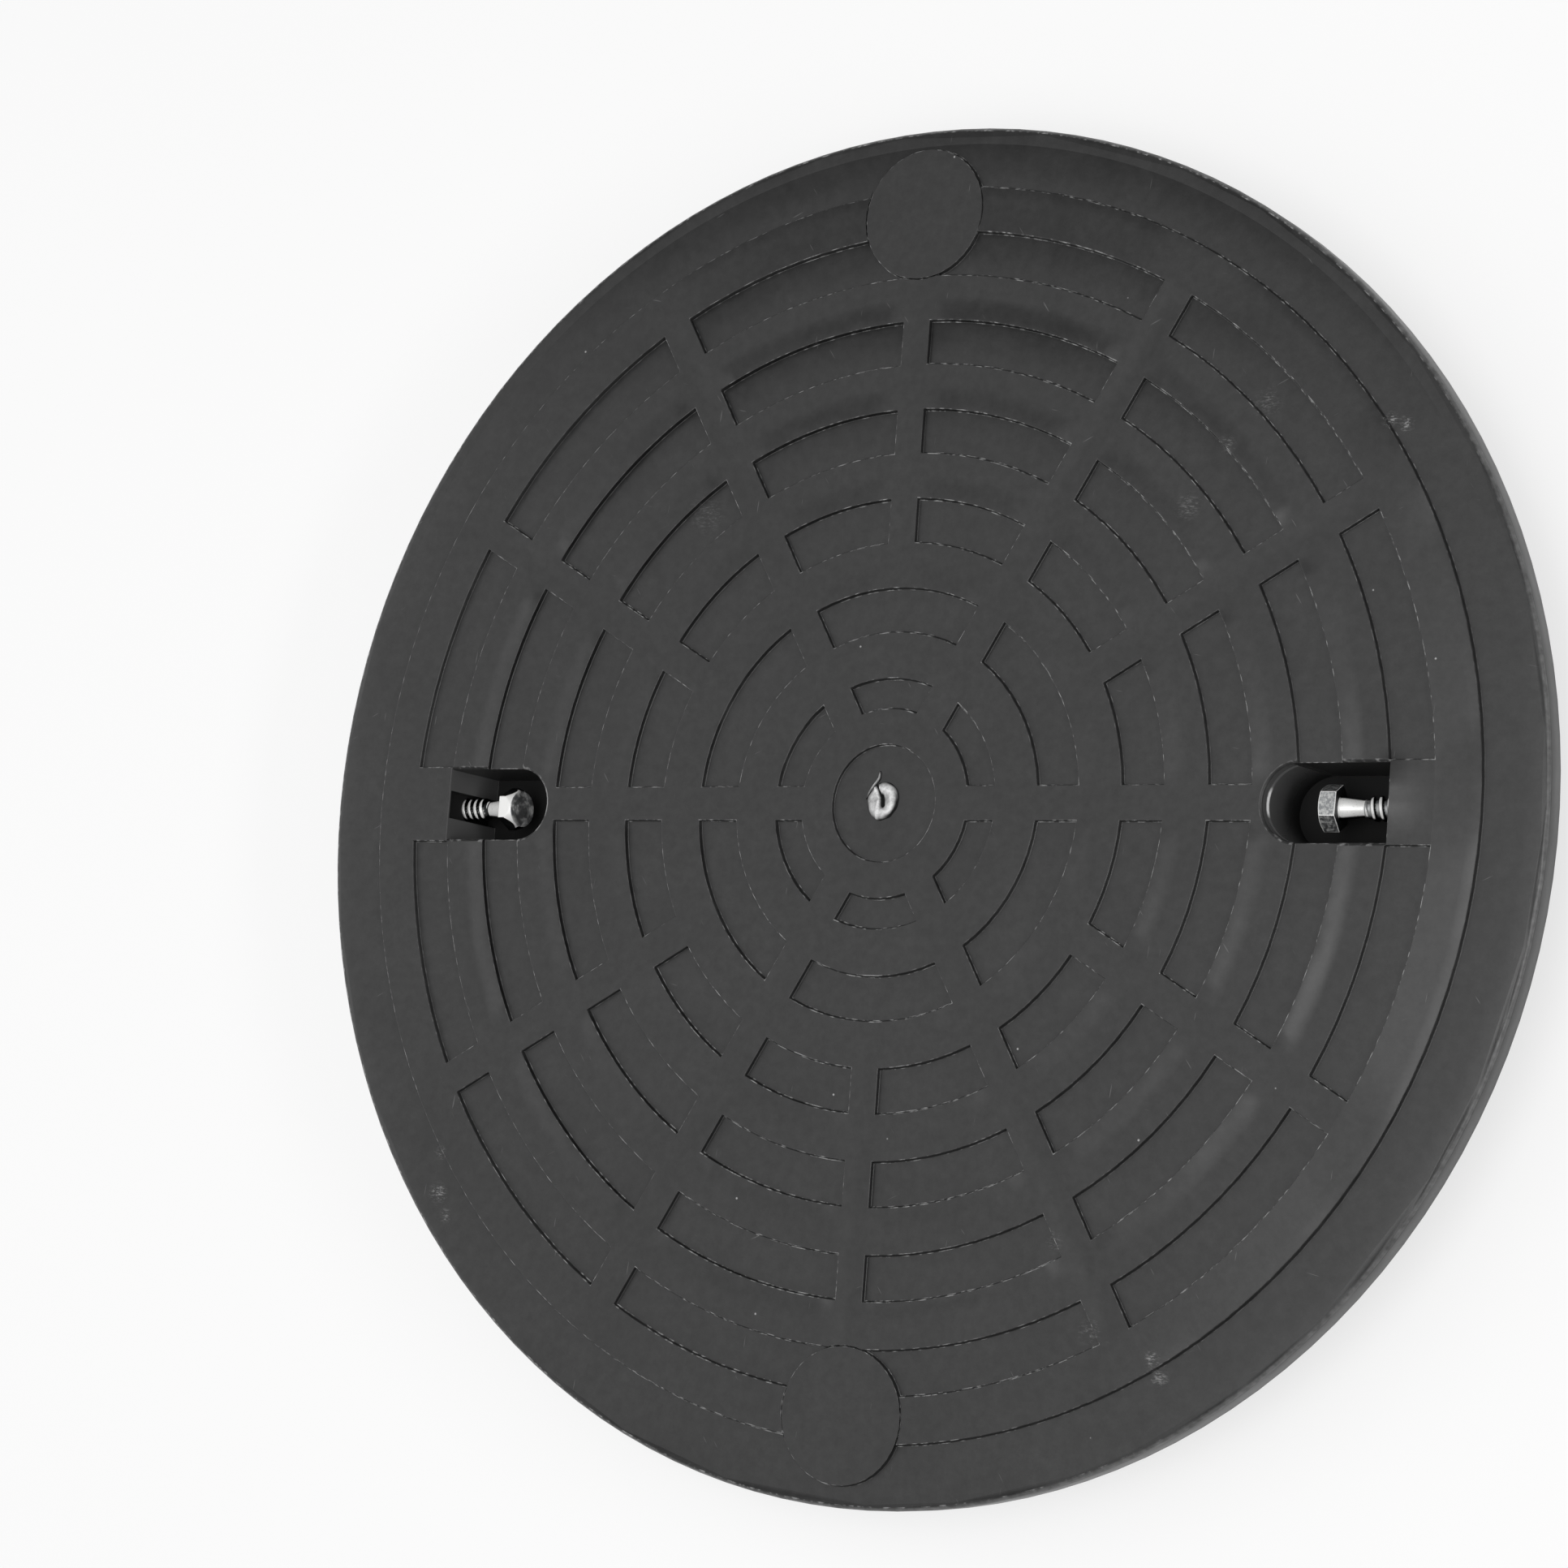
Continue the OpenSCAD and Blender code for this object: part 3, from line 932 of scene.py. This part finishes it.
@dataclass
class LockScrew:
    """A hexagon head wood screw, backed partly out of its hole."""

    side: Side
    finish: Material
    # Copies of the plating with painted highlight, painted shade and a painted glint on the head.
    bright: Material
    shaded: Material
    head_glint: Material
    seat_mm: float
    turn_deg: float
    chamfer_flare: float
    axis_z_mm: float = 24.5
    pocket_wall_mm: float = 175.0
    slope_deg: float = 5.0
    head_af_mm: float = 13.0
    head_h_mm: float = 5.5
    length_mm: float = 30.0
    head_sunk_mm: float = 1.0
    chamfer_share: float = 0.95
    dish_steps_mm: tuple[tuple[float, float], ...] = (
        (0.9, 0.0),
        (0.3, -0.07),
        (0.9, 0.0),
        (0.3, -0.06),
        (1.1, 0.0),
        (0.3, 0.06),
    )
    head_edge_mm: float = 0.34
    shank_r_mm: float = 3.95
    fillet_mm: float = 0.8
    fillet_in_mm: float = 0.35
    core_r_mm: float = 2.6
    point_mm: float = 6.5
    tip_r_mm: float = 0.25
    thread_from_mm: float = 9.0
    thread_pitch_mm: float = 2.7
    ridge_mm: float = 1.3
    crest_mm: float = 0.7

    @property
    def body(self) -> str:
        """The name of the body that the screw rides on."""
        return f"screw_{self.side.name.lower()}_body"

    @property
    def node(self) -> str:
        """The name of the solid that the screw stands for."""
        return f"screw_{self.side.name.lower()}"

    def core_radius(self, z: float) -> float:
        """Radius of the screw without its thread.

        Args:
            z: Distance from the head's seat, in millimetres.

        Returns:
            The radius in millimetres.
        """
        if z < self.fillet_mm:
            return self.shank_r_mm - self.fillet_in_mm * math.sin(clamp(z / self.fillet_mm) * math.pi / 2)
        neck = self.shank_r_mm - self.fillet_in_mm
        if z < self.thread_from_mm:
            share = (z - self.fillet_mm) / (self.thread_from_mm - self.fillet_mm)
            return neck + (self.core_r_mm - neck) * share
        point_from = self.length_mm - self.point_mm
        if z < point_from:
            return self.core_r_mm
        share = (z - point_from) / (self.length_mm - point_from)
        return self.core_r_mm * (1 - share) + self.tip_r_mm * share

    def ridge_height(self, z: float, angle: float) -> float:
        """Height of the thread's ridge at a point of the screw.

        Args:
            z: Distance from the head's seat, in millimetres.
            angle: Angle round the axis, in radians.

        Returns:
            The height over the core, in millimetres.
        """
        phase = (z / self.thread_pitch_mm - angle / math.tau) % 1.0
        off = abs(phase - 0.5) * self.thread_pitch_mm
        crest = max(0.0, 1 - max(0.0, off - self.crest_mm / 2) / (self.ridge_mm / 2))
        crest = crest * crest * (3 - 2 * crest)
        run_in = clamp((z - self.thread_from_mm + 1.2) / 3.0)
        run_out = clamp((self.length_mm - 0.6 - z) / 5.5)
        return (self.shank_r_mm - self.core_r_mm) * crest * run_in * run_out

    def head_plating(self, normal: Vector) -> Plating:
        """Which finish a face of the head has.

        Args:
            normal: The face's normal on the screw's axis, where -X is up.

        Returns:
            The finish: the plating, or a copy with painted light or shade.
        """
        # Painted shade under the head; on the left head, painted glint on the faces that turn up and painted
        # shade on the rest of its sides.
        if normal.z > 0.9:
            return Plating.GRIMED
        if self.side is Side.RIGHT or normal.z < -0.95:
            return Plating.MOTTLED
        return Plating.HEAD_GLINT if -normal.x > (0.9 if abs(normal.z) < 0.05 else 0.2) else Plating.GRIMED

    def shank_plating(self, centre: Vector) -> Plating:
        """Which finish a face of the shank has.

        Args:
            centre: The face's centre, in millimetres on the screw's axis.

        Returns:
            Painted highlight on the neck and the thread's crests, and painted shade on the rest, down in the
            thread.
        """
        radius = math.hypot(centre.x, centre.y)
        # Painted highlight on the neck and crests, painted shade on the rest.
        rubbed = centre.z < self.thread_from_mm - 1 or radius > self.core_r_mm + 0.35
        return Plating.RUBBED if rubbed else Plating.GRIMED

    def build_shank(self) -> Object:
        """Model the neck, thread and point by a spun profile and a raised thread.

        Returns:
            The shank, in millimetres on its own axis.
        """
        heights = [-0.6, 0.0, 0.2, 0.4, 0.6] + [self.fillet_mm + 0.4 * i for i in range(18)]
        fine_from, step = 7.8, 0.15
        count = int((self.length_mm - 0.1 - fine_from) / step)
        heights += [fine_from + step * i for i in range(count + 1)]
        points = [Vector((0, 0, heights[0]))]
        points += [Vector((self.core_radius(z), 0, z)) for z in heights]
        points.append(Vector((0, 0, self.length_mm)))
        mesh = bpy.data.meshes.new(self.node + "_shank")
        mesh.from_pydata(points, [(i, i + 1) for i in range(len(points) - 1)], [])
        shank = bpy.data.objects.new(mesh.name, mesh)
        bpy.context.scene.collection.objects.link(shank)
        activate(shank)
        bpy.ops.object.mode_set(mode="EDIT")
        bpy.ops.mesh.select_all(action="SELECT")
        bpy.ops.mesh.spin(steps=48, angle=math.tau, center=(0, 0, 0), axis=(0, 0, 1))
        bpy.ops.mesh.select_all(action="SELECT")
        bpy.ops.mesh.remove_doubles(threshold=0.001)
        bpy.ops.mesh.normals_make_consistent(inside=False)
        bpy.ops.object.mode_set(mode="OBJECT")
        for vertex in mesh.vertices:
            radius = math.hypot(vertex.co.x, vertex.co.y)
            if radius > 0.05 and vertex.co.z > self.thread_from_mm - 1.3:
                angle = math.atan2(vertex.co.y, vertex.co.x)
                grow = 1 + self.ridge_height(vertex.co.z, angle) / radius
                vertex.co.x *= grow
                vertex.co.y *= grow
        return shank

    def build_head(self) -> Object:
        """Model the hexagon head with its turned chamfer and shallow dish.

        Returns:
            The head, in millimetres on its own axis.
        """
        corner = self.head_af_mm / 2 / math.cos(math.pi / 6)
        flat = self.head_af_mm / 2 * self.chamfer_share
        slope_h = (corner - flat) / self.chamfer_flare
        depth = self.head_h_mm + self.head_sunk_mm
        bpy.ops.object.select_all(action="DESELECT")
        bpy.ops.mesh.primitive_cylinder_add(
            vertices=6,
            radius=corner,
            depth=depth,
            location=(0, 0, -depth / 2),
            rotation=(0, 0, math.radians(self.turn_deg + 30)),
        )
        head = bpy.context.object
        head.name = head.data.name = self.node + "_head"
        activate(head)
        bpy.ops.object.transform_apply(location=True, rotation=True, scale=True)
        bpy.ops.object.select_all(action="DESELECT")
        past_corner = 12
        bpy.ops.mesh.primitive_cone_add(
            vertices=96,
            radius1=flat,
            radius2=flat + (corner - flat) * past_corner,
            depth=slope_h * past_corner,
            location=(0, 0, -self.head_h_mm + slope_h * past_corner / 2),
        )
        cutter = bpy.context.object
        activate(cutter)
        bpy.ops.object.transform_apply(location=True, rotation=True, scale=True)
        apply_modifier(head, "BOOLEAN", operation="INTERSECT", object=cutter, solver="EXACT")
        bpy.data.objects.remove(cutter)
        activate(head)
        bpy.ops.object.mode_set(mode="EDIT")
        bpy.ops.mesh.select_all(action="SELECT")
        bpy.ops.mesh.remove_doubles(threshold=0.01)
        bpy.ops.mesh.dissolve_limited(angle_limit=math.radians(0.5))
        bpy.ops.object.mode_set(mode="OBJECT")
        pick_faces(head, lambda centre, normal: normal.z < -0.99)
        bpy.ops.object.mode_set(mode="EDIT")
        bpy.ops.mesh.select_mode(type="FACE")
        for across, down in self.dish_steps_mm:
            bpy.ops.mesh.inset(thickness=across, depth=down)
        bpy.ops.object.mode_set(mode="OBJECT")
        self.add_finishes(head)
        for polygon in head.data.polygons:
            polygon.material_index = self.head_plating(polygon.normal).value
        # On the right head the eased edges take the painted glint, as a bright outline.
        apply_modifier(
            head,
            "BEVEL",
            width=self.head_edge_mm,
            segments=3,
            limit_method="ANGLE",
            angle_limit=math.radians(20),
            harden_normals=True,
            material=Plating.HEAD_GLINT.value if self.side is Side.RIGHT else -1,
        )
        return head

    def add_finishes(self, part: Object) -> None:
        """Give a part of the screw its plating and the copies with painted highlight, painted shade and
        painted glint, in order.
        """
        for finish in (self.finish, self.bright, self.shaded, self.head_glint):
            part.data.materials.append(finish)

    def build(self) -> Object:
        """Model the screw and put it in its pocket.

        Returns:
            The finished piece.
        """
        head = self.build_head()
        shank = self.build_shank()
        self.add_finishes(shank)
        for polygon in shank.data.polygons:
            polygon.material_index = self.shank_plating(polygon.center).value
        activate(shank)
        bpy.ops.object.shade_smooth_by_angle(angle=math.radians(50))
        bpy.ops.object.select_all(action="DESELECT")
        shank.select_set(True)
        head.select_set(True)
        bpy.context.view_layer.objects.active = head
        bpy.ops.object.join()
        head.name = head.data.name = self.node + "_threaded"
        slope = math.radians(self.slope_deg)
        spin = Matrix.Rotation(0 if self.side is Side.RIGHT else math.pi, 4, "Z")
        lie = Matrix.Rotation(math.pi / 2 + slope, 4, "Y")
        wall = Matrix.Translation((self.pocket_wall_mm, 0, self.axis_z_mm))
        slide = Matrix.Translation((0, 0, (self.seat_mm - self.pocket_wall_mm) / math.cos(slope)))
        head.data.transform(Matrix.Scale(MM, 4) @ spin @ wall @ lie @ slide)
        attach(head, self.body)
        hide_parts(self.node)
        return head


@dataclass
class Studio:
    """White floor, soft overhead light, and the photograph's camera."""

    floor_half_m: float = 5.0
    floor_gap_m: float = 0.0003
    lens_mm: float = 87.273
    sensor_mm: float = 36.0
    sky: float = 0.25

    def build_floor(self) -> Object:
        """Lay the floor under the spigot.

        Returns:
            The floor.
        """
        bpy.ops.object.select_all(action="DESELECT")
        under = (0, 0, -self.floor_gap_m)
        bpy.ops.mesh.primitive_plane_add(size=2 * self.floor_half_m, location=under)
        floor = bpy.context.object
        floor.name = "studio_floor"
        floor.data.materials.append(PaleFloor().build())
        return floor

    def build_world(self) -> None:
        """Light the room evenly from all round."""
        world = bpy.data.worlds.new("studio_room")
        bpy.context.scene.world = world
        world.use_nodes = True
        tree = world.node_tree
        tree.nodes.clear()
        room = add(tree, "Background", {0: (1.0, 1.0, 1.0, 1.0), 1: self.sky})
        back = add(tree, "Background", {0: (1.0, 1.0, 1.0, 1.0), 1: 1.0})
        path = add(tree, "LightPath")
        mixed = add(tree, "MixShader", {0: path.outputs["Is Camera Ray"], 1: room, 2: back})
        add(tree, "OutputWorld", {0: mixed})

    def add_softbox(
        self, name: str, place: Vector, aim: Vector, size: tuple[float, float], level: float
    ) -> None:
        """Hang one softbox.

        Args:
            name: The lamp's name.
            place: Where it hangs, in metres.
            aim: The point that it faces.
            size: Its width and height in metres.
            level: Its surface brightness, where 1 is white.
        """
        lamp = bpy.data.lights.new(name, "AREA")
        lamp.shape = "RECTANGLE"
        lamp.size, lamp.size_y = size
        lamp.energy = level * math.pi * size[0] * size[1]
        holder = bpy.data.objects.new(name, lamp)
        bpy.context.scene.collection.objects.link(holder)
        turn = (aim - place).to_track_quat("-Z", "Y").to_matrix().to_4x4()
        holder.matrix_world = Matrix.Translation(place) @ turn

    def build_camera(self) -> None:
        """Set the camera where the photograph was taken."""
        lens = bpy.data.cameras.new("photograph_view")
        lens.lens = self.lens_mm
        lens.sensor_width = self.sensor_mm
        lens.clip_start = 0.01
        camera = bpy.data.objects.new("photograph_view", lens)
        bpy.context.scene.collection.objects.link(camera)
        right = Vector((0.848332, 0.072359, -0.524497))
        up = Vector((0.004216, 0.989663, 0.143352))
        back = Vector((0.529448, -0.123821, 0.839257))
        turn = Matrix((right, up, back)).transposed().to_4x4()
        stand = (0.623298, -0.148328, 1.088645)
        camera.matrix_world = Matrix.Translation(stand) @ turn
        bpy.context.scene.camera = camera

    def build(self) -> None:
        """Build the floor, the lights and the camera."""
        self.build_floor()
        self.build_world()
        middle = (0.0, 0.0, COVER_TOP * MM)
        for name, place, aim, size, level in (
            ("ceiling", (-0.45, -0.1, 1.9), (-0.45, -0.1, 0.0), (2.7, 2.4), 0.74),
            ("key", (0.34, -0.17, 1.6), middle, (0.8, 0.8), 3.8),
            ("left_panel", (-1.7, 0.0, 0.7), middle, (1.8, 1.1), 1.2),
            ("right_panel", (1.5, -0.2, 0.9), middle, (1.3, 0.24), 8.0),
        ):
            self.add_softbox(name, Vector(place), Vector(aim), size, level)
        self.build_camera()
        bpy.context.scene.view_settings.view_transform = "Standard"


def main() -> None:
    """Build every piece and log the size of each in faces."""
    logging.basicConfig(level=logging.INFO, format="%(name)s: %(message)s")
    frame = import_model()
    face = MouldedPolyethylene().build()
    core = PolishedPolyethylene().build()
    # Painted shade: the pockets' floors and slots are near black.
    depth = PolishedPolyethylene(
        "polyethylene_black_core_painted_shade", "#080808", roughness=0.85, deep="#080808"
    ).build()
    # Painted light: the pockets' outer walls are a pale grey, paler towards the bottom.
    wall = PolishedPolyethylene(
        "polyethylene_black_wall_painted_light", "#565656", roughness=0.6, deep="#666666"
    ).build()
    # Painted reflection and shade: the inner end walls are grey at the top and dark towards the bottom, with
    # the painted highlight line on the ledge.
    end = PolishedPolyethylene(
        "polyethylene_black_core_end", "#545454", roughness=0.2, deep="#1e1e1e", ledge_mm=1.1
    ).build()
    mottled = {"turned_from": -0.9, "turned_to": -0.5}
    speckled = ZincPlatedSteel(
        "steel_zinc_plated_speckled", "#77797c", "#c4c5c3", blotch_mm=1.1, **mottled
    ).build()
    turned = ZincPlatedSteel(
        "steel_zinc_plated_turned", "#b4b6b8", "#e0e0de", chalk_metal=0.1, **mottled
    ).build()
    # Painted highlight: white copies of the plating for the necks, the thread's crests and the heads' lit
    # faces and edges.
    pale: dict[str, Any] = {"colour": "#fafafa", "bloom": "#fafaf8", "chalk_metal": 0.0, "chalk_least": 0.85}
    rubbed = ZincPlatedSteel(
        "steel_zinc_plated_painted_highlight", rough_from=0.25, rough_to=0.38, grimed="#242526", **pale
    ).build()
    head_glint = ZincPlatedSteel(
        "steel_zinc_plated_painted_glint", rough_from=0.3, rough_to=0.4, turned_from=0.0, turned_to=0.2, **pale
    ).build()
    # Painted shade: darker copies for the thread's grooves, the face under each head and the left head's
    # sides.
    shaded = ZincPlatedSteel(
        "steel_zinc_plated_painted_shade", "#2c2d2e", "#3a3b3c", rough_from=0.5, rough_to=0.7, grimed="#101112"
    ).build()
    grey_shade = ZincPlatedSteel(
        "steel_zinc_plated_grey_painted_shade",
        "#a2a4a6",
        "#b4b5b4",
        rough_from=0.4,
        rough_to=0.6,
        grimed="#3a3b3c",
        turned_from=0.0,
        turned_to=0.5,
        chalk_metal=0.2,
    ).build()
    report(CoverMoulding(face, core, depth, wall, end).build(frame["nodes"]["cover"]))
    torn = TornPolyethylene().build()
    report(GateStub(torn).build())
    report(GateFlash(torn).build())
    for side, plating, shade_finish, seat, turn, flare in (
        (Side.RIGHT, speckled, grey_shade, 154.2, 24.0, 2.6),
        (Side.LEFT, turned, shaded, 158.7, 30.0, 0.5),
    ):
        report(LockScrew(side, plating, rubbed, shade_finish, head_glint, seat, turn, flare).build())
    Studio().build()


if __name__ == "__main__":
    main()
